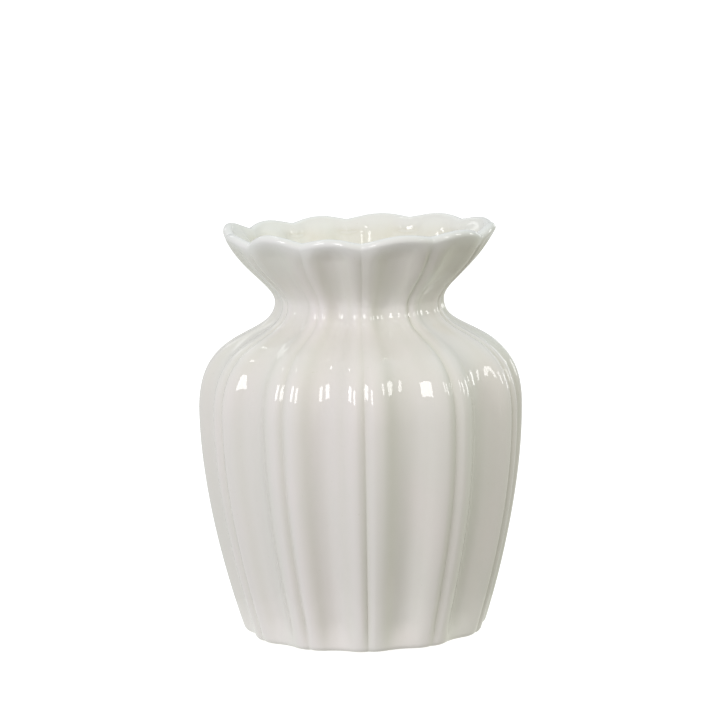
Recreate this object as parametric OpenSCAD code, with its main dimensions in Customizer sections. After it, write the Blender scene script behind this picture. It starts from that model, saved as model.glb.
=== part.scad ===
// Fluted ceramic vase with a narrow neck and a scalloped, flared mouth.
// Units are millimetres. The origin is on the axis, at the plane that the foot ring stands on.
// The front of the vase faces -Y. Every height is measured from the origin.

/* [Body] */
// Height to the tip of the highest petal
height = 190.8; // [180:0.2:215]
// Diameter over the ribs at the widest place
belly_d = 150.7; // [140:0.1:170]
// Height of the widest place
belly_z = 106; // [98:1:112]
// Diameter over the ribs at the rounding of the foot
foot_d = 114.4; // [105:0.2:124]
// Lean of the wall just above the foot, in degrees from upright
foot_lean = 18.5; // [12:0.5:24]
// Diameter over the ribs at the narrowest place of the neck
neck_d = 78.6; // [72:0.2:90]
// Height of the narrowest place of the neck
neck_z = 155.3; // [150:0.1:160]
// Diameter of the ring that the middle of the lip follows at the ribs
mouth_d = 116.4; // [110:0.2:130]
// Lean of the flared wall at the lip, in degrees from upright
mouth_lean = 23; // [15:1:40]

/* [Walls] */
// Thickness of the wall with its glaze, and of the round lip
wall = 4.6; // [3.6:0.1:5.6]
// Thickness of the glaze
glaze = 0.4; // [0.2:0.05:0.6]
// Thickness of the floor of the vase with its glaze
floor_t = 6; // [5:0.5:9]
// Radius of the rounding between the wall and the underside
foot_round = 4.2; // [2.5:0.1:5]

/* [Flutes] */
// Number of petals around the vase
petals = 12; // [8:1:14]
// Depth of the hollow flutes between the ribs at the widest place
flute_depth = 6; // [3:0.2:7]
// Depth of the narrow groove along the crest of each rib
groove_depth = 1.4; // [0.5:0.1:1.8]
// Rise of the highest petal over the circle that the lip follows
petal_rise = 4; // [1:0.25:5]
// Lean of the rising petals, in degrees from upright
petal_lean = 43.5; // [20:0.5:50]
// Height over which the flutes fade in above the foot
foot_fade = 15; // [8:1:25]
// Height over which the flutes fade out below the lip
mouth_fade = 9; // [5:1:14]

/* [Foot] */
// Distance of the bare foot ring in from the start of the foot rounding
ring_inset = 4.4; // [3:0.2:8]
// Width of the bare foot ring
ring_w = 5.5; // [4:0.5:8]
// Height of the foot ring below the rounded corner of the body
ring_proud = 0.5; // [0.3:0.1:1]
// Depth of the hollow inside the foot ring
recess = 3; // [2:0.25:3.5]

/* [Hidden] */

// Lengths of the pulls that shape the three curved stretches of the wall
foot_pull = 10.4;
belly_pull_down = 44.4;
belly_pull_up = 39.9;
neck_pull_down = 17.8;
neck_pull_up = 7.3;
mouth_pull = 15.6;
// Chamfer of the foot ring
ring_chamfer = 0.6;
// Length of the pulls of the cove between the inner wall and the floor, and its width
cove_pull = 8;
cove_w = 18;

// Shares of the distance from one rib to the next at which the surface has its points
side_shares = [0, 0.1, 0.25, 0.5, 0.75, 0.9];
// Shares of half a petal, from its rib: the crest beside the groove, and the steepest place
crest_share = 0.2;
steep_share = 0.55;
// Share of the flutes' depth that is left at the foot, at the lip and on the inner wall,
// and the power of the radius that their depth follows
foot_flute_share = 0.45;
lip_flute_share = 0.2;
inner_flute_share = 0.8;
flute_power = 0.5;
// Unevenness of the hand-finished ribs, starting with the rib at the front and going right:
// how far each lies to the right, as shares of a petal, and how much further it leans at the lip
rib_shift_shares = [0.04, 0.16, 0.28, 0.18, 0.13, 0.17, 0.16, 0.07, 0.05, 0.05, 0.04, 0.05];
rim_shift_shares = [0, -0.07, 0, -0.09, 0.04, 0.01, 0.01, 0, -0.04, 0, 0.03, 0.11];
// Depth of the flute after each rib, as shares of the flutes' depth: at the belly, and from the neck up
belly_flute_shares = [1.05, 1.2, 1, 1, 1, 1, 1, 1, 1, 1, 1, 1];
neck_flute_shares = [0.9, 0.5, 0.5, 0.6, 0.7, 0.7, 0.7, 0.7, 0.6, 0.5, 0.5, 0.9];
// How far the lip lies above its circle, as shares of the rise: at each rib, and in the petal after it
rib_rise_shares = [0.05, 0.5, 0.15, 0.6, 0.5, 0.4, 0.2, 0.05, 0, 0.1, -0.3, 0.1];
tip_rise_shares = [0.8, 0.95, 0.95, 1, 0.95, 0.8, 0.65, 0.6, 1, 0.3, 0.9, 0.6];
// Powers of the growth of the rise above the neck, and of the petals' outline
rise_power = 1.75;
petal_power = 1.25;
// Shares of the heights along each stretch at which the surface has its rings
foot_ring_shares = [0.2, 0.55, 1];
lower_ring_shares = [0.14, 0.36, 0.6, 0.82, 1];
upper_ring_shares = [0.2, 0.4, 0.56, 0.7, 0.84, 1];
mouth_ring_shares = [0.22, 0.45, 0.68, 0.86, 1];
lip_ring_shares = [0.35, 0.7, 1];
cove_ring_shares = [0.35, 0.7, 1];
// Share of the foot rounding that stays bare below the glaze
bare_share = 0.2;

belly_r = belly_d / 2;
foot_r = foot_d / 2;
neck_r = neck_d / 2;
ring_r = foot_r - foot_round - ring_inset;
lip_r = wall / 2;
lip_c = [mouth_d / 2, height - petal_rise - lip_r];
foot_c = [foot_r - foot_round, ring_proud + foot_round];
floor_z = recess + floor_t;

// Shapes of the unit functions
function mix(a, b, s) = a + (b - a) * s;
function smooth(s) = let (t = min(1, max(0, s))) t * t * (3 - 2 * t);
function bezier(p, s) = let (q = 1 - s)
    q * q * q * p[0] + 3 * q * q * s * p[1] + 3 * q * s * s * p[2] + s * s * s * p[3];
function heading(p, s) = let (q = 1 - s)
    q * q * (p[1] - p[0]) + 2 * q * s * (p[2] - p[1]) + s * s * (p[3] - p[2]);
function unit(v) = v / norm(v);
function outward(v) = let (n = unit(v)) [n[1], -n[0]];
function toward(a) = [cos(a), sin(a)];
function reversed(list) = [for (i = [len(list) - 1:-1:0]) list[i]];

// The three stretches of the outer wall, as the pulls of their curves
foot_edge = foot_c + foot_round * toward(-foot_lean);
belly_edge = [belly_r, belly_z];
neck_edge = [neck_r, neck_z];
mouth_edge = lip_c + lip_r * toward(-mouth_lean);
lower_pulls = [
    foot_edge,
    foot_edge + foot_pull * toward(90 - foot_lean),
    belly_edge - [0, belly_pull_down],
    belly_edge
];
upper_pulls = [belly_edge, belly_edge + [0, belly_pull_up], neck_edge - [0, neck_pull_down], neck_edge];
mouth_pulls = [
    neck_edge,
    neck_edge + [0, neck_pull_up],
    mouth_edge - mouth_pull * toward(90 - mouth_lean),
    mouth_edge
];

// A ring of the surface is its point over a rib, its outward direction there,
// the share of the flutes' depth and the share of the petals' rise
function flute_share(z) = min(
    mix(foot_flute_share, 1, smooth(z / foot_fade)),
    mix(lip_flute_share, 1, smooth((mouth_edge[1] - z) / mouth_fade))
);
function rise_share(z) = pow(min(1, max(0, (z - neck_z) / (mouth_edge[1] - neck_z))), rise_power);
function wall_ring(p, n) = [p, n, flute_share(p[1]), rise_share(p[1])];
function foot_rings(shares) = [
    for (s = shares) let (n = toward(mix(-90, -foot_lean, s))) wall_ring(foot_c + foot_round * n, n)
];
function curve_rings(pulls, shares) = [
    for (s = shares) wall_ring(bezier(pulls, s), outward(heading(pulls, s)))
];
function lip_ring(a) = [
    lip_c + lip_r * toward(a),
    toward(a),
    lip_flute_share * mix(1, inner_flute_share, (a + mouth_lean) / 180),
    1
];

// Rings moved into the solid along their directions, and rings that face the other way
function sunk(rings, depth) = [for (g = rings) [g[0] - depth * g[1], g[1], g[2], g[3]]];
function turned(rings, share) = [for (g = rings) [g[0], -g[1], g[2] * share, g[3]]];

upright_rings = concat(
    curve_rings(lower_pulls, lower_ring_shares),
    curve_rings(upper_pulls, upper_ring_shares),
    curve_rings(mouth_pulls, mouth_ring_shares)
);
bare_rings = foot_rings([0, bare_share]);
glazed_rings = concat(
    [bare_rings[1]],
    foot_rings([for (s = foot_ring_shares) mix(bare_share, 1, s)]),
    upright_rings,
    [for (s = lip_ring_shares) lip_ring(mix(-mouth_lean, 90, s))]
);

// The inner wall keeps the wall's thickness, and ends in a cove at the floor
inner_wall = turned(sunk(upright_rings, wall), inner_flute_share);
cove_top = inner_wall[1];
cove_pulls = [
    cove_top[0],
    cove_top[0] - cove_pull * unit(heading(lower_pulls, lower_ring_shares[1])),
    [cove_top[0][0] - cove_w + cove_pull, floor_z],
    [cove_top[0][0] - cove_w, floor_z]
];
cove_rings = [
    for (s = cove_ring_shares)
        [bezier(cove_pulls, s), outward(heading(cove_pulls, s)), cove_top[2] * (1 - s), 0]
];
inner_rings = concat(
    [for (s = reversed(lip_ring_shares)) lip_ring(mix(180 - mouth_lean, 90, s))],
    reversed([for (i = [1:len(inner_wall) - 1]) inner_wall[i]]),
    cove_rings
);

// The petals around the axis: each sample is its petal, its share of the way to the next rib,
// and its share of half a petal from the nearest rib
function uneven(shares, k) = shares[k % petals % len(shares)];
function rib_angle(k, rise) =
    360 / petals * (k + uneven(rib_shift_shares, k) + rise * uneven(rim_shift_shares, k)) - 90;
samples = [for (k = [0:petals - 1], w = side_shares) [k, w, 1 - abs(2 * w - 1)]];
flute_run = 1 - crest_share;
function flute(u) = u < crest_share ? 0
    : u < steep_share ? pow(u - crest_share, 2) / ((steep_share - crest_share) * flute_run)
    : 1 - pow(1 - u, 2) / ((1 - steep_share) * flute_run);
function groove(u) = u < crest_share ? 1 - u / crest_share : 0;
function petal(k, w, u) = let (a = uneven(rib_rise_shares, k), b = uneven(rib_rise_shares, k + 1))
    mix(a, b, smooth(w)) + (uneven(tip_rise_shares, k) - (a + b) / 2) * pow(sin(90 * u), petal_power);
petal_rises = [for (s = samples) petal_rise * petal(s[0], s[1], s[2])];

// The points of one ring
function ring_points(g) = let (
    scale_r = pow(g[0][0] / belly_r, flute_power),
    up_share = smooth((g[0][1] - belly_z) / (neck_z - belly_z))
) [
    for (i = [0:len(samples) - 1]) let (
        s = samples[i],
        a = mix(rib_angle(s[0], g[3]), rib_angle(s[0] + 1, g[3]), s[1]),
        rise = g[3] * petal_rises[i],
        depth = flute_depth * mix(uneven(belly_flute_shares, s[0]), uneven(neck_flute_shares, s[0]), up_share),
        r = g[0][0] - g[2] * scale_r * (depth * flute(s[2]) + groove_depth * groove(s[2]))
            + rise * tan(petal_lean)
    ) [r * cos(a), r * sin(a), g[0][1] + rise]
];
function level_ring(r, z) = [[r, z], [0, -1], 0, 0];

// The triangles between rings of n points, with each patch split along its shorter diagonal
function patch(points, a, b, c, d) = norm(points[a] - points[c]) < norm(points[b] - points[d])
    ? [[a, b, c], [a, c, d]]
    : [[a, b, d], [b, c, d]];
function band(points, i, j, n) = [
    for (k = [0:n - 1]) let (m = (k + 1) % n)
        each patch(points, i * n + k, j * n + k, j * n + m, i * n + m)
];
function bands(points, n) = [for (i = [0:len(points) / n - 2]) each band(points, i, i + 1, n)];

// A solid between a low and a high point on the axis, with rings from one to the other
module spun_solid(low, rings, high) {
    n = len(samples);
    points = [for (g = rings) each ring_points(g)];
    count = len(points);
    polyhedron(
        points = concat(points, [[0, 0, low], [0, 0, high]]),
        faces = concat(
            bands(points, n),
            [for (k = [0:n - 1]) [count, k, (k + 1) % n]],
            [for (k = [0:n - 1]) [count + 1, count - n + (k + 1) % n, count - n + k]]
        ),
        convexity = 8
    );
}

// The closed coat between a skin of rings and the surface that it covers
module coat(rings, thickness) {
    n = len(samples);
    points = [for (g = concat(rings, reversed(sunk(rings, thickness)))) each ring_points(g)];
    polyhedron(
        points = points,
        faces = concat(bands(points, n), band(points, len(points) / n - 1, 0, n)),
        convexity = 8
    );
}

module foot_ring() {
    rotate_extrude($fn = 96)
        polygon([
            [ring_r - ring_w, recess + ring_proud],
            [ring_r - ring_w, ring_chamfer],
            [ring_r - ring_w + ring_chamfer, 0],
            [ring_r - ring_chamfer, 0],
            [ring_r, ring_chamfer],
            [ring_r, recess + ring_proud]
        ]);
}

module clay_body() {
    ring_middle = ring_r - ring_w / 2;
    lining = sunk(inner_rings, glaze);
    color("tan")
        union() {
            spun_solid(
                recess,
                concat(
                    [level_ring(ring_middle, recess), level_ring(ring_middle, ring_proud + glaze)],
                    sunk([bare_rings[0]], glaze),
                    sunk(glazed_rings, glaze),
                    [for (i = [1:len(lining) - 1]) lining[i]]
                ),
                floor_z - glaze
            );
            foot_ring();
        }
}

module outer_glaze() {
    color("ivory")
        coat(glazed_rings, glaze);
}

module liner_glaze() {
    color("cornsilk")
        spun_solid(floor_z - glaze, concat(reversed(sunk(inner_rings, glaze)), inner_rings), floor_z);
}

module base_glaze() {
    color("ivory")
        translate([0, 0, recess - glaze])
            cylinder(r = ring_r - ring_w, h = glaze, $fn = 96);
}

clay_body();
outer_glaze();
liner_glaze();
base_glaze();
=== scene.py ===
import math
from typing import NamedTuple

import bpy
import numpy as np
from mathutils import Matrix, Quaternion, Vector


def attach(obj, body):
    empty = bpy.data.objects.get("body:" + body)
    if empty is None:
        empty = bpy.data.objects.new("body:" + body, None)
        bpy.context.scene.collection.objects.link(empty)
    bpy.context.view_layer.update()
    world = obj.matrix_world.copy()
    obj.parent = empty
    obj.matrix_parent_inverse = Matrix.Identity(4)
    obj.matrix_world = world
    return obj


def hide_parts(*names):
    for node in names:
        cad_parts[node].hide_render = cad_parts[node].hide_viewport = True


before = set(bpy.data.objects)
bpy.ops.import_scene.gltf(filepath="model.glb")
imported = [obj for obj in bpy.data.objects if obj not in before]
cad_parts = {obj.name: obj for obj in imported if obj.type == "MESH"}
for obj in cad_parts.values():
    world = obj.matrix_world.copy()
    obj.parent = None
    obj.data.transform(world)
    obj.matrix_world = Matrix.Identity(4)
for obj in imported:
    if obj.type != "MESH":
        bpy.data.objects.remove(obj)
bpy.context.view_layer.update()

MM = 0.001

# Sizes of the vase, in metres and radians, as the CAD model has them
HEIGHT = 190.8 * MM
BELLY_R = 75.35 * MM
BELLY_Z = 106 * MM
FOOT_R = 57.2 * MM
FOOT_LEAN = math.radians(18.5)
NECK_R = 39.3 * MM
NECK_Z = 155.3 * MM
MOUTH_R = 58.2 * MM
MOUTH_LEAN = math.radians(23)
WALL = 4.6 * MM
GLAZE = 0.4 * MM
FLOOR_T = 6 * MM
FOOT_ROUND = 4.2 * MM
PETALS = 12
FLUTE_DEPTH = 6 * MM
PETAL_RISE = 4 * MM
PETAL_LEAN = math.radians(43.5)
FOOT_FADE = 15 * MM
RING_INSET = 4.4 * MM
RING_W = 5.5 * MM
RING_PROUD = 0.5 * MM
RING_CHAMFER = 0.6 * MM
RECESS = 3 * MM

# Lengths of the pulls that shape the wall's curves and the cove over the floor, and the cove's width
FOOT_PULL = 10.4 * MM
BELLY_PULL_DOWN = 44.4 * MM
BELLY_PULL_UP = 39.9 * MM
NECK_PULL_DOWN = 17.8 * MM
NECK_PULL_UP = 7.3 * MM
MOUTH_PULL = 15.6 * MM
COVE_PULL = 8 * MM
COVE_W = 18 * MM

# Shares of half a petal, from its rib: the crest beside the groove, and the steepest place
CREST_SHARE = 0.2
STEEP_SHARE = 0.55
# Shares of the flutes' depth at the foot, at the lip and on the inner wall
FOOT_FLUTE_SHARE = 0.45
LIP_FLUTE_SHARE = 0.2
INNER_FLUTE_SHARE = 0.8
# Powers of the radius that the flutes' depth follows, of the rise above the neck, and of the petals'
# outline
FLUTE_POWER = 0.5
RISE_POWER = 1.75
PETAL_POWER = 1.25
# Share of the foot's rounding that stays bare below the glaze
BARE_SHARE = 0.2
# Unevenness of the ribs, from the one at the front to the right: how far each lies to the right, as shares
# of a petal, and how much further it leans at the lip
RIB_SHIFT_SHARES = (0.04, 0.16, 0.28, 0.18, 0.13, 0.17, 0.16, 0.07, 0.05, 0.05, 0.04, 0.05)
RIM_SHIFT_SHARES = (0, -0.07, 0, -0.09, 0.04, 0.01, 0.01, 0, -0.04, 0, 0.03, 0.11)
# Depth of the flute after each rib, as shares of the flutes' depth: at the belly, and from the neck up
BELLY_FLUTE_SHARES = (1.05, 1.2, 1, 1, 1, 1, 1, 1, 1, 1, 1, 1)
NECK_FLUTE_SHARES = (0.9, 0.5, 0.5, 0.6, 0.7, 0.7, 0.7, 0.7, 0.6, 0.5, 0.5, 0.9)
# How far the lip lies above its circle, as shares of the rise: at each rib, and in the petal after it
RIB_RISE_SHARES = (0.05, 0.5, 0.15, 0.6, 0.5, 0.4, 0.2, 0.05, 0, 0.1, -0.3, 0.1)
TIP_RISE_SHARES = (0.8, 0.95, 0.95, 1, 0.95, 0.8, 0.65, 0.6, 1, 0.3, 0.9, 0.6)

# From here to the numbers of rings: what this model has of its own, inside the CAD model's box

# Grooves: their depth and the power of their sides, what is left of them on the inner wall, how much deeper
# they get towards the foot, and their depth at the neck by rib
GROOVE_DEPTH = 1.5 * MM
GROOVE_POWER = 1.6
INNER_GROOVE_SHARE = 0.3
LOW_GROOVE_GAIN = 0.2
NECK_GROOVE_SHARES = (0.35, 1.2, 0.9, 0.6, 0.6, 0.6, 0.6, 0.6, 0.6, 0.6, 0.7, 0.5)
# How far each rib lies to the right at the foot, as shares of a petal, and the height where that ends
FOOT_SHIFT_SHARES = (0, -0.06, -0.05, 0, 0, 0, 0, 0, 0, 0.03, 0.03, 0.03)
FOOT_SHIFT_Z = 75 * MM
# Height over which the flutes and grooves fade out below the lip
MOUTH_FADE = 6.5 * MM
# Pockets inside the lip: their depth, how far below the middle of the lip they lie, how far they reach up
# and down, and how far to the sides, as a share of half a petal
POCKET_DEPTH = 0.8 * MM
POCKET_DROP = 3.6 * MM
POCKET_SPAN = 1.3 * MM
POCKET_SHARE = 0.55
# A slight sway of the flare towards +X, its height and its reach
SWAY = 0.6 * MM
SWAY_Z = 166 * MM
SWAY_SPAN = 15 * MM
# Slow ripples: the depth of all together, their length upright, and for each its turns around the body,
# its climb and its start
WAVE_DEPTH = 0.09 * MM
WAVE_LENGTH = 26 * MM
WAVES = ((5, 1.9, 0.3), (-7, 2.7, 1.1), (11, -1.6, 2.0), (13, 3.1, 4.2), (-17, 0.9, 5.0))
# The glaze patch under the floor, from its middle out: how far in from the foot ring each of its rings
# lies, and how far below the clay, in thicknesses of the glaze
PATCH_IN_COATS = (3, 1, 0, 0)
PATCH_DROP_COATS = (1, 1.5, 2, 0)

# Numbers of rings on each stretch, and of columns on each part of half a petal
FOOT_COUNT = 12
LOWER_COUNT = 44
UPPER_COUNT = 56
MOUTH_COUNT = 36
LIP_COUNT = 9
COVE_COUNT = 14
GROOVE_COLUMNS = 9
FLANK_COLUMNS = 11
HOLLOW_COLUMNS = 6
FLANK_END_SHARE = 0.65
# Number of rings in the rounded lower edge of the outside coat, and the ring of the wall where the cove
# starts
EDGE_COUNT = 6
COVE_START = 8
# The hidden skins of the coats and of the clay have one ring for so many of the outside
COAT_STEP = 4
CLAY_STEP = 2
# Edges bent more than this are shaded sharp, such as the ends of the coats on the lip's crest
SHARP_ANGLE = math.radians(75)

LIP_R = WALL / 2
RING_R = FOOT_R - FOOT_ROUND - RING_INSET
RING_INNER_R = RING_R - RING_W
FLOOR_Z = RECESS + FLOOR_T
PETAL_ANGLE = 2 * math.pi / PETALS
# Heights over which the lip's thinner glaze and painted sheen, and the flare's painted shade, come in
LIP_TINT_SPAN = 2 * WALL
FLARE_TINT_SPAN = 3 * WALL


def mix(a, b, s):
    return a + (b - a) * s


def smooth(s):
    t = np.clip(s, 0, 1)
    return t * t * (3 - 2 * t)


def bell(x):
    """A smooth hump that is 1 at 0 and fades out on both sides."""
    return np.exp(-(x**2))


def steps(count):
    """Even shares from 0 to 1, with one more than the count."""
    return np.arange(count + 1) / count


def toward(angle):
    """Unit vectors in the plane of the section, as rows of radius and height."""
    return np.stack([np.cos(angle), np.sin(angle)], axis=-1)


def bezier(pulls, s):
    """Points of a stretch of the section, at shares of it."""
    p = np.array(pulls)
    t = s[:, None]
    q = 1 - t
    return q**3 * p[0] + 3 * q * q * t * p[1] + 3 * q * t * t * p[2] + t**3 * p[3]


def outward(pulls, s):
    """Unit normals of a stretch, on the right-hand side of its heading."""
    p = np.array(pulls)
    t = s[:, None]
    q = 1 - t
    along = q * q * (p[1] - p[0]) + 2 * q * t * (p[2] - p[1]) + t * t * (p[3] - p[2])
    along /= np.linalg.norm(along, axis=1)[:, None]
    return np.stack([along[:, 1], -along[:, 0]], axis=1)


# The stretches of the outer wall
foot_c = np.array([FOOT_R - FOOT_ROUND, RING_PROUD + FOOT_ROUND])
lip_c = np.array([MOUTH_R, HEIGHT - PETAL_RISE - LIP_R])
foot_edge = foot_c + FOOT_ROUND * toward(-FOOT_LEAN)
belly_edge = np.array([BELLY_R, BELLY_Z])
neck_edge = np.array([NECK_R, NECK_Z])
mouth_edge = lip_c + LIP_R * toward(-MOUTH_LEAN)
up = np.array([0, 1])
lower_pulls = [
    foot_edge,
    foot_edge + FOOT_PULL * toward(math.pi / 2 - FOOT_LEAN),
    belly_edge - BELLY_PULL_DOWN * up,
    belly_edge,
]
upper_pulls = [
    belly_edge,
    belly_edge + BELLY_PULL_UP * up,
    neck_edge - NECK_PULL_DOWN * up,
    neck_edge,
]
mouth_pulls = [
    neck_edge,
    neck_edge + NECK_PULL_UP * up,
    mouth_edge - MOUTH_PULL * toward(math.pi / 2 - MOUTH_LEAN),
    mouth_edge,
]


class Rows(NamedTuple):
    """Rings of a skin: each one's point over a rib, its direction out of the solid, and its shares of the
    flutes' depth, of the grooves' depth and of the petals' rise."""

    point: np.ndarray
    out: np.ndarray
    flute: np.ndarray
    groove: np.ndarray
    rise: np.ndarray

    def pick(self, index):
        return Rows(*[values[index] for values in self])

    def backwards(self):
        return self.pick(slice(None, None, -1))

    def thinned(self, step):
        """One ring in so many, and the last, for a skin that is hidden."""
        last = len(self.point) - 1
        return self.pick(np.append(np.arange(0, last, step), last))

    def sunk(self, depth):
        """The same rings, moved into the solid by a depth, or by one depth each."""
        depths = np.broadcast_to(depth, len(self.point))[:, None]
        return self._replace(point=self.point - depths * self.out)

    def turned(self):
        """The same rings, facing the other way, with the shallower flutes and grooves of the inner wall."""
        return self._replace(
            out=-self.out,
            flute=self.flute * INNER_FLUTE_SHARE,
            groove=self.groove * INNER_GROOVE_SHARE,
        )


def joined(*parts):
    return Rows(*[np.concatenate(values) for values in zip(*parts)])


def wall_rows(point, out):
    """Rings of the outer wall, whose heights give the depth of the flutes and grooves and the rise."""
    z = point[:, 1]
    lip_share = smooth((mouth_edge[1] - z) / MOUTH_FADE)
    foot_share = mix(FOOT_FLUTE_SHARE, 1, smooth(z / FOOT_FADE))
    flute = np.minimum(foot_share, mix(LIP_FLUTE_SHARE, 1, lip_share))
    low_gain = 1 + LOW_GROOVE_GAIN * smooth(1 - z / BELLY_Z)
    rise = np.clip((z - NECK_Z) / (mouth_edge[1] - NECK_Z), 0, 1) ** RISE_POWER
    return Rows(point, out, flute, foot_share * lip_share * low_gain, rise)


def curve_rows(pulls, count):
    s = steps(count)[1:]
    return wall_rows(bezier(pulls, s), outward(pulls, s))


def foot_rows(shares):
    """Rings of the foot's rounding, at shares of the way from the underside to the wall."""
    out = toward(mix(-math.pi / 2, -FOOT_LEAN, np.array(shares)))
    return wall_rows(foot_c + FOOT_ROUND * out, out)


def lip_rows(angles):
    """Rings of the lip, whose flutes get shallower from the outer wall to the inner one."""
    out = toward(angles)
    inward = (angles + MOUTH_LEAN) / math.pi
    flute = LIP_FLUTE_SHARE * mix(1, INNER_FLUTE_SHARE, inward)
    return Rows(lip_c + LIP_R * out, out, flute, np.zeros(len(angles)), np.ones(len(angles)))


def level_rows(radii, heights):
    """Plain round rings, without flutes, grooves or petals."""
    point = np.column_stack([radii, heights])
    nothing = np.zeros(len(point))
    return Rows(point, np.tile([0, -1], (len(point), 1)), nothing, nothing, nothing)


def petal_columns():
    """By column: its petal, its way to the next rib, and its share of half a petal from the nearest rib."""
    half = np.concatenate(
        [
            CREST_SHARE * steps(GROOVE_COLUMNS)[:-1],
            mix(CREST_SHARE, FLANK_END_SHARE, steps(FLANK_COLUMNS)[:-1]),
            mix(FLANK_END_SHARE, 1, steps(HOLLOW_COLUMNS)[:-1]),
        ]
    )
    whole = np.concatenate([half / 2, [1 / 2], 1 - half[:0:-1] / 2])
    share = np.tile(1 - np.abs(2 * whole - 1), PETALS)
    return np.repeat(np.arange(PETALS), len(whole)), np.tile(whole, PETALS), share


column_petal, column_way, column_share = petal_columns()
COLUMNS = len(column_petal)


def at_ribs(shares):
    """A table of the ribs, read at each column: at the rib before it and at the one after."""
    table = np.array(shares)
    return table[column_petal], table[(column_petal + 1) % PETALS]


def turns(shares):
    """How far a table of the ribs' shares of a petal turns each column."""
    return PETAL_ANGLE * mix(*at_ribs(shares), column_way)


def flute_shape(u):
    """Depth of a flute at a share of half a petal: a curve down from the crest, and one to the bottom."""
    run = 1 - CREST_SHARE
    rising = (u - CREST_SHARE) ** 2 / ((STEEP_SHARE - CREST_SHARE) * run)
    settling = 1 - (1 - u) ** 2 / ((1 - STEEP_SHARE) * run)
    return np.where(u < CREST_SHARE, 0, np.where(u < STEEP_SHARE, rising, settling))


# What each column has: its angles, and its shares of the flutes, the grooves and the petals' rise
column_angle = PETAL_ANGLE * (column_petal + column_way) + turns(RIB_SHIFT_SHARES) - math.pi / 2
rim_turn = turns(RIM_SHIFT_SHARES)
foot_turn = turns(FOOT_SHIFT_SHARES)
flute_column = flute_shape(column_share)
belly_flute = flute_column * np.array(BELLY_FLUTE_SHARES)[column_petal]
neck_flute = flute_column * np.array(NECK_FLUTE_SHARES)[column_petal]
# The sides of the flutes, which get painted shade in the glazes: 1 halfway down, and 0 on the crest and at
# the bottom
flank_column = 4 * flute_column * (1 - flute_column)
groove_column = np.clip(1 - column_share / CREST_SHARE, 0, 1) ** GROOVE_POWER
neck_groove = groove_column * np.where(column_way < 1 / 2, *at_ribs(NECK_GROOVE_SHARES))
rib_rise, next_rise = at_ribs(RIB_RISE_SHARES)
tip_gain = np.array(TIP_RISE_SHARES)[column_petal] - (rib_rise + next_rise) / 2
petal_column = mix(rib_rise, next_rise, smooth(column_way))
petal_column += tip_gain * np.sin(math.pi / 2 * column_share) ** PETAL_POWER
petal_column = np.minimum(petal_column, 1)


def waves(angle, height):
    """Slow ripples of the surface, which only ever sink it, as shares of their depth."""
    climb = height / WAVE_LENGTH
    total = sum(np.sin(around * angle + rise * climb + start) for around, rise, start in WAVES)
    return (total / len(WAVES) - 1) / 2


def way_up(rows):
    """Share of the way from the belly to the neck, by ring."""
    return smooth((rows.point[:, 1:] - BELLY_Z) / (NECK_Z - BELLY_Z))


def groove_shares(rows):
    """How deep each point is in a groove, by ring and column."""
    return rows.groove[:, None] * mix(groove_column, neck_groove, way_up(rows))


def pocket_shares(rows):
    """How deep each point is in the pockets that the inner side of the lip has below its notches."""
    below = (lip_c[1] - POCKET_DROP - rows.point[:, 1:]) / POCKET_SPAN
    inner = rows.out[:, :1] < 0
    return inner * bell(below) * bell(column_share / POCKET_SHARE)


def skin_points(rows):
    """Points of a skin, ring by ring."""
    r = rows.point[:, :1]
    z = rows.point[:, 1:]
    flute = rows.flute[:, None] * mix(belly_flute, neck_flute, way_up(rows))
    hollow = (r / BELLY_R) ** FLUTE_POWER * (FLUTE_DEPTH * flute + GROOVE_DEPTH * groove_shares(rows))
    rise = PETAL_RISE * rows.rise[:, None] * petal_column
    angle = column_angle + rows.rise[:, None] * rim_turn + smooth(1 - z / FOOT_SHIFT_Z) * foot_turn
    radius = r - hollow + math.tan(PETAL_LEAN) * rise
    radius = radius + WAVE_DEPTH * waves(angle, z) + POCKET_DEPTH * pocket_shares(rows)
    sway = SWAY * bell((z - SWAY_Z) / SWAY_SPAN)
    points = [radius * np.cos(angle) + sway, radius * np.sin(angle), z + rise]
    return np.stack(points, axis=-1).reshape(-1, 3)


def skin_traits(rows):
    """What the glazes read at each point: how far it is in a groove, a flute, the lip and so on."""
    z = rows.point[:, 1]
    lip = smooth((z - (HEIGHT - PETAL_RISE - LIP_TINT_SPAN)) / LIP_TINT_SPAN)
    flare = smooth((z - NECK_Z) / FLARE_TINT_SPAN)
    everywhere = np.ones(COLUMNS)
    # The groove, pocket, hollow and flank traits give the glazes gathered glaze and painted shade, the lip
    # trait a painted sheen, and the flare trait painted shade
    return (
        ("groove", groove_shares(rows)),
        ("pocket", pocket_shares(rows)),
        ("hollow", np.outer(rows.flute, flute_column)),
        ("flank", np.outer(rows.flute, flank_column)),
        ("lip", np.outer(lip, everywhere)),
        ("flare", np.outer(flare, everywhere)),
    )


def ring_faces(count, loop):
    """Quads between rings, in the order that faces out where the rings climb the outside."""
    faces = []
    for i in range(count if loop else count - 1):
        low = i * COLUMNS
        high = (i + 1) % count * COLUMNS
        for k in range(COLUMNS):
            m = (k + 1) % COLUMNS
            faces.append((low + k, low + m, high + m, high + k))
    return faces


def pole_faces(ring_start, pole, below):
    """Triangles from a ring to a point on the axis, below it or above it."""
    faces = []
    for k in range(COLUMNS):
        a = ring_start + k
        b = ring_start + (k + 1) % COLUMNS
        faces.append((pole, b, a) if below else (pole, a, b))
    return faces


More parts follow.
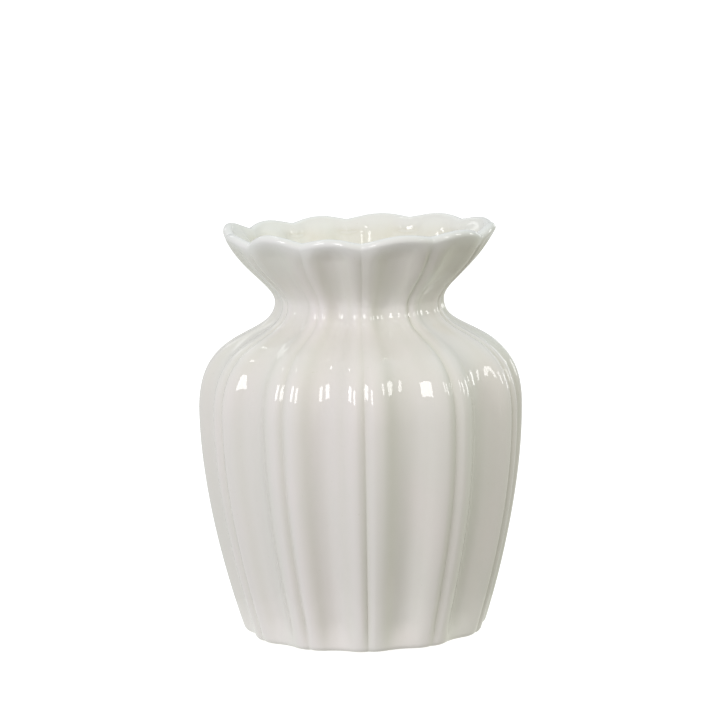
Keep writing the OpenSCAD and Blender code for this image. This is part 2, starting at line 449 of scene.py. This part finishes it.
def make_piece(name, rows, pole_heights=(), traits=()):
    """A closed piece. Its rings come back to the first, or end at two points on the axis."""
    points = skin_points(rows)
    count = len(points)
    faces = ring_faces(len(rows.point), loop=not pole_heights)
    if pole_heights:
        faces += pole_faces(0, count, below=True)
        faces += pole_faces(count - COLUMNS, count + 1, below=False)
        points = np.concatenate([points, [(0, 0, z) for z in pole_heights]])
    mesh = bpy.data.meshes.new(name)
    mesh.from_pydata(points.tolist(), [], faces)
    mesh.shade_smooth()
    mesh.set_sharp_from_angle(angle=SHARP_ANGLE)
    for key, values in traits:
        at_points = np.append(values, np.zeros(len(pole_heights)))
        layer = mesh.attributes.new(key, "FLOAT", "POINT")
        layer.data.foreach_set("value", at_points.astype(np.float32))
    mesh.update()
    piece = bpy.data.objects.new(name, mesh)
    bpy.context.scene.collection.objects.link(piece)
    return piece


# The outer wall with its foot and the outer half of the lip, and the lining with the inner half
upright = joined(
    curve_rows(lower_pulls, LOWER_COUNT),
    curve_rows(upper_pulls, UPPER_COUNT),
    curve_rows(mouth_pulls, MOUTH_COUNT),
)
outside = joined(
    foot_rows(mix(BARE_SHARE, 1, steps(FOOT_COUNT))),
    upright,
    lip_rows(mix(-MOUTH_LEAN, math.pi / 2, steps(LIP_COUNT)[1:])),
)

inner_wall = upright.sunk(WALL).turned().pick(slice(COVE_START, None))
cove_top = inner_wall.point[0]
first_out = inner_wall.out[0]
cove_pulls = [
    cove_top,
    cove_top - COVE_PULL * np.array([first_out[1], -first_out[0]]),
    [cove_top[0] - COVE_W + COVE_PULL, FLOOR_Z],
    [cove_top[0] - COVE_W, FLOOR_Z],
]
cove_s = steps(COVE_COUNT)[1:]
no_share = np.zeros(COVE_COUNT)
cove = Rows(
    bezier(cove_pulls, cove_s),
    outward(cove_pulls, cove_s),
    (1 - cove_s) * inner_wall.flute[0],
    no_share,
    no_share,
)
inside = joined(
    lip_rows(mix(math.pi - MOUTH_LEAN, math.pi / 2, steps(LIP_COUNT))[::-1]),
    inner_wall.pick(slice(0, -1)).backwards(),
    cove,
)


def make_outer_glaze():
    """The outside coat: its skin with a rounded lower edge, and the surface of the clay under it."""
    edge = np.zeros(len(outside.point))
    edge[:EDGE_COUNT] = GLAZE * (1 - np.sqrt(1 - (1 - steps(EDGE_COUNT)[:-1]) ** 2))
    rows = joined(outside.sunk(edge), outside.sunk(GLAZE).thinned(COAT_STEP).backwards())
    return make_piece("outer_glaze_coat", rows, traits=skin_traits(rows))


def make_liner_glaze():
    """The poured lining: up the clay's surface to the crest of the lip, and down its own skin."""
    rows = joined(inside.sunk(GLAZE).thinned(COAT_STEP).backwards(), inside)
    return make_piece("liner_glaze_coat", rows, (FLOOR_Z - GLAZE, FLOOR_Z), skin_traits(rows))


def make_clay_body():
    """The fired clay: foot ring, outer wall, lip, inner wall and floor."""
    ring = level_rows(
        [RING_INNER_R, RING_INNER_R, RING_INNER_R + RING_CHAMFER, RING_R - RING_CHAMFER, RING_R, RING_R],
        [RECESS, RING_CHAMFER, 0, 0, RING_CHAMFER, RING_PROUD + GLAZE],
    )
    bare = foot_rows([0, BARE_SHARE / 2]).sunk(GLAZE)
    wall = outside.sunk(GLAZE).thinned(CLAY_STEP)
    lining = inside.sunk(GLAZE).pick(slice(1, None)).thinned(CLAY_STEP)
    return make_piece("fired_clay_body", joined(ring, bare, wall, lining), (RECESS, FLOOR_Z - GLAZE))


def make_base_glaze():
    """The glaze patch under the floor, thicker where it meets the foot ring."""
    radii = RING_INNER_R - GLAZE * np.array(PATCH_IN_COATS)
    heights = RECESS - GLAZE * np.array(PATCH_DROP_COATS)
    return make_piece("base_glaze_patch", level_rows(radii, heights), (RECESS - GLAZE, RECESS))


class Grain(NamedTuple):
    """A noise: the size of its patches, how much finer detail it has and how strong that is, and how much
    longer its patches are upright."""

    size: float
    detail: float = 2
    roughness: float = 0.5
    stretch: float = 1


# Colours of the glazes: where they are even, where they drift, where glaze gathers in the grooves and
# hollows, which is also the colour of the painted shade and of the specks, and where the glaze runs thinner
# on the lip, with a painted bluish sheen
OUTER_COLORS = ((0.80, 0.778, 0.742), (0.775, 0.77, 0.725), (0.60, 0.62, 0.50), (0.83, 0.855, 0.84))
LINER_COLORS = ((0.845, 0.84, 0.775), (0.83, 0.825, 0.755), (0.64, 0.61, 0.44), (0.84, 0.86, 0.84))
# Colours of the clay: where it is even, where it drifts, and of its sand
CLAY_COLORS = ((0.80, 0.75, 0.67), (0.70, 0.64, 0.55), (0.52, 0.43, 0.33))
IOR = 1.5

# How far each place takes the colour of gathered glaze darkened into painted shade: the grooves, the
# flutes' hollows and flanks, and the pockets under the lip. The flare takes it too, as painted shade, and
# the lip takes the colour of thinner glaze with a painted sheen
POOL_AND_SHADE_SHARES = {"groove": 0.35, "hollow": 0.14, "flank": 0.22, "pocket": 0.5}
OUTER_FLARE_SHADE_SHARE = 0.18
LINER_FLARE_SHADE_SHARE = 0.06
LIP_THIN_AND_SHEEN_SHARE = 0.75

# Noises of the glazes, and the spans of their values that count. The mottle drifts the colour, the clouds
# vary the pooling and painted shade and the gloss, the specks are the few tiny iron specks of plain glazes,
# and the dimples make the gloss a little uneven.
MOTTLE = Grain(28 * MM, detail=3, stretch=1.8)
MOTTLE_SPAN = (0.35, 0.65)
CLOUD = Grain(5 * MM, detail=4)
CLOUD_SPAN = (0.35, 0.75)
CLOUD_POOL_AND_SHADE_SHARES = (0.85, 1)
GLAZE_ROUGHNESS = (0.02, 0.035)
SPECK = Grain(1.1 * MM, detail=0)
SPECK_SPAN = (0.83, 0.86)
SPECK_SHARE = 0.25
DIMPLE = Grain(3.5 * MM, detail=1)
DIMPLE_DEPTH = 0.012 * MM
DIMPLE_STRENGTH = 0.6

# Noises of the clay: its drift of colour, its sand, and the pits in its surface
DRIFT = Grain(9 * MM, detail=3)
DRIFT_SPAN = (0.3, 0.7)
SAND = Grain(0.7 * MM, roughness=0.7)
SAND_SPAN = (0.62, 0.72)
SAND_SHARE = 0.55
PIT = Grain(2.5 * MM)
PIT_DEPTH = 0.05 * MM
ROUGH_SPAN = (0.3, 0.7)
CLAY_ROUGHNESS = (0.72, 0.92)


class Paint:
    """Builds a material's nodes with short calls, whose values are sockets, numbers or colours."""

    def __init__(self, name):
        self.material = bpy.data.materials.new(name)
        self.material.use_nodes = True
        self.tree = self.material.node_tree
        self.shader = self.tree.nodes["Principled BSDF"]
        self.coordinates = self.tree.nodes.new("ShaderNodeTexCoord").outputs["Object"]

    def put(self, socket, value):
        if isinstance(value, bpy.types.NodeSocket):
            self.tree.links.new(value, socket)
        elif socket.type == "RGBA":
            socket.default_value = (*value, 1)
        else:
            socket.default_value = value

    def attribute(self, name):
        node = self.tree.nodes.new("ShaderNodeAttribute")
        node.attribute_name = name
        return node.outputs["Fac"]

    def noise(self, grain):
        """Values from 0 to 1 that change over about the size of the grain."""
        across = 1 / grain.size
        mapping = self.tree.nodes.new("ShaderNodeMapping")
        mapping.inputs["Scale"].default_value = (across, across, across / grain.stretch)
        self.put(mapping.inputs["Vector"], self.coordinates)
        node = self.tree.nodes.new("ShaderNodeTexNoise")
        node.inputs["Scale"].default_value = 1
        node.inputs["Detail"].default_value = grain.detail
        node.inputs["Roughness"].default_value = grain.roughness
        self.put(node.inputs["Vector"], mapping.outputs["Vector"])
        return node.outputs["Fac"]

    def math(self, operation, a, b):
        node = self.tree.nodes.new("ShaderNodeMath")
        node.operation = operation
        self.put(node.inputs[0], a)
        self.put(node.inputs[1], b)
        return node.outputs["Value"]

    def times(self, value, share):
        return self.math("MULTIPLY", value, share)

    def ramp(self, value, span, out=(0, 1)):
        """Goes smoothly from one end of out to the other as the value crosses the span."""
        node = self.tree.nodes.new("ShaderNodeMapRange")
        node.interpolation_type = "SMOOTHSTEP"
        self.put(node.inputs["Value"], value)
        for key, limit in zip(("From Min", "From Max", "To Min", "To Max"), span + out):
            node.inputs[key].default_value = limit
        return node.outputs["Result"]

    def mix(self, factor, a, b):
        node = self.tree.nodes.new("ShaderNodeMix")
        node.data_type = "RGBA"
        self.put(node.inputs["Factor"], factor)
        self.put(node.inputs["A"], a)
        self.put(node.inputs["B"], b)
        return node.outputs["Result"]

    def bump(self, height, distance, strength=1):
        node = self.tree.nodes.new("ShaderNodeBump")
        node.inputs["Strength"].default_value = strength
        node.inputs["Distance"].default_value = distance
        self.put(node.inputs["Height"], height)
        self.put(self.shader.inputs["Normal"], node.outputs["Normal"])

    def finish(self, color, roughness):
        self.put(self.shader.inputs["Base Color"], color)
        self.put(self.shader.inputs["Roughness"], roughness)
        self.shader.inputs["IOR"].default_value = IOR
        return self.material


def glaze_material(name, colors, flare_shade_share):
    """A glossy glaze with gathered glaze and painted shade in the grooves, hollows, flanks and pockets,
    painted shade over the flare, and thinner glaze with a painted sheen over the lip.
    """
    even, drift, pool_and_shade, thin_and_sheen = colors
    paint = Paint(name)
    mottle = paint.ramp(paint.noise(MOTTLE), MOTTLE_SPAN)
    cloud = paint.ramp(paint.noise(CLOUD), CLOUD_SPAN)
    # Painted shade, with gathered glaze: a darker olive in the grooves, the flutes' hollows and flanks, and
    # the pockets under the lip
    pooling_and_shade = 0
    for trait, share in POOL_AND_SHADE_SHARES.items():
        pooling_and_shade = paint.math("MAXIMUM", pooling_and_shade, paint.times(paint.attribute(trait), share))
    pooling_and_shade = paint.times(pooling_and_shade, paint.ramp(cloud, (0, 1), CLOUD_POOL_AND_SHADE_SHARES))
    speck = paint.ramp(paint.noise(SPECK), SPECK_SPAN)
    color = paint.mix(mottle, even, drift)
    color = paint.mix(pooling_and_shade, color, pool_and_shade)
    # Painted shade: the flare, which faces down, drifts towards the darker olive colour
    color = paint.mix(paint.times(paint.attribute("flare"), flare_shade_share), color, pool_and_shade)
    # Thinner glaze over the lip, whose pale bluish colour is also a painted sheen of the light the lip
    # mirrors
    color = paint.mix(paint.times(paint.attribute("lip"), LIP_THIN_AND_SHEEN_SHARE), color, thin_and_sheen)
    color = paint.mix(paint.times(speck, SPECK_SHARE), color, pool_and_shade)
    paint.bump(paint.noise(DIMPLE), DIMPLE_DEPTH, DIMPLE_STRENGTH)
    return paint.finish(color, paint.ramp(cloud, (0, 1), GLAZE_ROUGHNESS))


def clay_material():
    """Bare fired clay: matte and pale, with a fine sandy grain."""
    even, drift, grain = CLAY_COLORS
    paint = Paint("bare_clay")
    sand = paint.noise(SAND)
    color = paint.mix(paint.ramp(paint.noise(DRIFT), DRIFT_SPAN), even, drift)
    color = paint.mix(paint.ramp(sand, SAND_SPAN, (0, SAND_SHARE)), color, grain)
    paint.bump(paint.math("ADD", sand, paint.noise(PIT)), PIT_DEPTH)
    return paint.finish(color, paint.ramp(sand, ROUGH_SPAN, CLAY_ROUGHNESS))


outer_glaze = glaze_material("outer_glaze", OUTER_COLORS, OUTER_FLARE_SHADE_SHARE)
liner_glaze = glaze_material("liner_glaze", LINER_COLORS, LINER_FLARE_SHADE_SHARE)
bare_clay = clay_material()

# Each piece with the CAD node that it replaces, its slot and its material
made = (
    (make_outer_glaze(), "outer_glaze", "outer_glaze", outer_glaze),
    (make_liner_glaze(), "liner_glaze", "liner_glaze", liner_glaze),
    (make_clay_body(), "clay_body", "bare_clay", bare_clay),
    (make_base_glaze(), "base_glaze", "outer_glaze", outer_glaze),
)
for piece, node, slot, material in made:
    piece.data.materials.append(material)
    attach(piece, "root")
    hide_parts(node)

# The stage: a pale floor that glows a little, so that it looks white
FLOOR_HALF = 40
FLOOR_FINISH = {
    "Base Color": (0.5, 0.5, 0.5, 1),
    "Emission Color": (1, 1, 1, 1),
    "Emission Strength": 0.85,
    "Roughness": 0.9,
    "Specular IOR Level": 0,
}
floor_mesh = bpy.data.meshes.new("floor")
corners = [(-FLOOR_HALF, -FLOOR_HALF, 0), (FLOOR_HALF, -FLOOR_HALF, 0)]
corners += [(FLOOR_HALF, FLOOR_HALF, 0), (-FLOOR_HALF, FLOOR_HALF, 0)]
floor_mesh.from_pydata(corners, [], [(0, 1, 2, 3)])
floor = bpy.data.objects.new("floor", floor_mesh)
bpy.context.scene.collection.objects.link(floor)
floor_material = bpy.data.materials.new("floor")
floor_material.use_nodes = True
floor_shader = floor_material.node_tree.nodes["Principled BSDF"]
for key, value in FLOOR_FINISH.items():
    floor_shader.inputs[key].default_value = value
floor_mesh.materials.append(floor_material)
# Only the camera sees the floor. The sky's lower half lights the vase from below in its place.
floor.visible_diffuse = False
floor.visible_glossy = False
floor.visible_transmission = False
floor.visible_shadow = False
bpy.context.scene.view_settings.view_transform = "Standard"

# Soft lights all round, each a smooth glow in the sky: azimuth, elevation, sharpness, colour
WIDE = 5
NARROW = 18
SOFT_LIGHTS = (
    (0, 50, WIDE, (0.25, 0.20, 0.10)),
    (60, 50, WIDE, (0.20, 0.20, 0.15)),
    (120, 50, WIDE, (0.40, 0.50, 0.60)),
    (180, 50, WIDE, (0.25, 0.25, 0.30)),
    (240, 50, WIDE, (0.15, 0.20, 0.15)),
    (220, 45, NARROW, (0.45, 0.45, 0.45)),
    (0, 10, WIDE, (0.50, 0.45, 0.50)),
    (90, 10, WIDE, (0.40, 0.40, 0.30)),
    (135, 10, WIDE, (0.30, 0.30, 0.30)),
    (180, 10, WIDE, (0.25, 0.25, 0.25)),
    (225, 10, WIDE, (0.35, 0.35, 0.35)),
    (270, 10, WIDE, (0.25, 0.20, 0.20)),
    (315, 10, WIDE, (0.20, 0.20, 0.35)),
    (50, -5, NARROW, (0.50, 0.50, 0.50)),
    (0, -35, WIDE, (0.15, 0.15, 0.10)),
    (120, -35, WIDE, (0.05, 0.05, 0.00)),
    (140, -25, NARROW, (0.15, 0.15, 0.10)),
    (180, -35, WIDE, (0.50, 0.50, 0.45)),
    (240, -35, WIDE, (0.45, 0.50, 0.45)),
    (300, -35, WIDE, (0.30, 0.30, 0.30)),
    (320, -28, NARROW, (0.35, 0.35, 0.35)),
)
# Windows that the glaze mirrors: azimuth, elevation, width and height in degrees, radiance
WINDOWS = {
    "window_left": (-41, 28, 16, 21, 8),
    "window_middle": (-11, 26, 11, 21, 8),
    "window_right": (64, 28, 9, 15, 6.5),
    "window_right_next": (90, 19, 8, 14, 6),
    "window_right_far": (122, 9, 10, 12, 4),
    "window_back_right": (156, 7, 12, 12, 1),
    "window_back_left": (-150, 28, 8, 14, 0.8),
    "ceiling_lamp": (-140, 64, 6, 8, 5),
    "ceiling_lamp_left": (-75, 62, 6, 5, 6),
}
WINDOW_DISTANCE = 1.5
# Light that the ground throws up at the foot
GLOW_R = 0.09
GLOW_RADIANCE = 0.22


def way_to(azimuth, elevation):
    """Unit vector to a place in the sky, in degrees. Azimuth 0 is in front of the vase, and 90 at +X."""
    around = math.radians(azimuth)
    above = math.radians(elevation)
    return Vector(
        (math.sin(around) * math.cos(above), -math.cos(around) * math.cos(above), math.sin(above))
    )


def make_sky(lights):
    """Adds up the glows: each falls off with the angle from its middle, the faster the sharper it is."""
    world = bpy.data.worlds.new("studio")
    bpy.context.scene.world = world
    world.use_nodes = True
    tree = world.node_tree
    direction = tree.nodes.new("ShaderNodeTexCoord").outputs["Generated"]
    total = None
    for azimuth, elevation, sharpness, color in lights:
        near = tree.nodes.new("ShaderNodeVectorMath")
        near.operation = "DOT_PRODUCT"
        near.inputs[1].default_value = way_to(azimuth, elevation)
        tree.links.new(direction, near.inputs[0])
        fall = tree.nodes.new("ShaderNodeMath")
        fall.operation = "MULTIPLY_ADD"
        fall.inputs[1].default_value = sharpness
        fall.inputs[2].default_value = -sharpness
        tree.links.new(near.outputs["Value"], fall.inputs[0])
        brightness = tree.nodes.new("ShaderNodeMath")
        brightness.operation = "EXPONENT"
        tree.links.new(fall.outputs["Value"], brightness.inputs[0])
        tinted = tree.nodes.new("ShaderNodeVectorMath")
        tinted.operation = "MULTIPLY_ADD"
        tinted.inputs[1].default_value = color
        tree.links.new(brightness.outputs["Value"], tinted.inputs[0])
        if total:
            tree.links.new(total, tinted.inputs[2])
        total = tinted.outputs["Vector"]
    tree.links.new(total, tree.nodes["Background"].inputs["Color"])


def make_area_light(name, shape):
    light = bpy.data.lights.new(name, "AREA")
    light.shape = shape
    lamp = bpy.data.objects.new(name, light)
    bpy.context.scene.collection.objects.link(lamp)
    return lamp


def make_window(name, azimuth, elevation, width, height, radiance):
    """A rectangular light that faces the middle of the vase."""
    lamp = make_area_light(name, "RECTANGLE")
    light = lamp.data
    light.size = 2 * WINDOW_DISTANCE * math.tan(math.radians(width / 2))
    light.size_y = 2 * WINDOW_DISTANCE * math.tan(math.radians(height / 2))
    # An area light's power is its radiance times pi times its area
    light.energy = radiance * math.pi * light.size * light.size_y
    way = way_to(azimuth, elevation)
    lamp.location = Vector((0, 0, BELLY_Z)) + WINDOW_DISTANCE * way
    lamp.rotation_euler = (-way).to_track_quat("-Z", "Y").to_euler()


make_sky(SOFT_LIGHTS)
for window_name, window in WINDOWS.items():
    make_window(window_name, *window)

ground_glow = make_area_light("ground_glow", "DISK")
ground_glow.data.size = 2 * GLOW_R
ground_glow.data.energy = GLOW_RADIANCE * math.pi * math.pi * GLOW_R**2
ground_glow.location = (0, 0, -MM)
ground_glow.rotation_euler = (math.pi, 0, 0)

# The camera, as fitted to the outline in the photograph
CAMERA_BACK = 1.4
CAMERA_HEIGHT = 0.32
CAMERA_PITCH = math.radians(7.85)
CAMERA_ROLL = math.radians(-1.15)
FOCAL_PX = 3040
PHOTO_PX = 720
SENSOR_MM = 36

camera_data = bpy.data.cameras.new("camera")
camera_data.sensor_width = SENSOR_MM
camera_data.lens = SENSOR_MM * FOCAL_PX / PHOTO_PX
camera = bpy.data.objects.new("camera", camera_data)
bpy.context.scene.collection.objects.link(camera)
camera.location = (0, -CAMERA_BACK, CAMERA_HEIGHT)
pitch = Quaternion((1, 0, 0), math.pi / 2 - CAMERA_PITCH)
camera.rotation_euler = (pitch @ Quaternion((0, 0, 1), CAMERA_ROLL)).to_euler()
bpy.context.scene.camera = camera
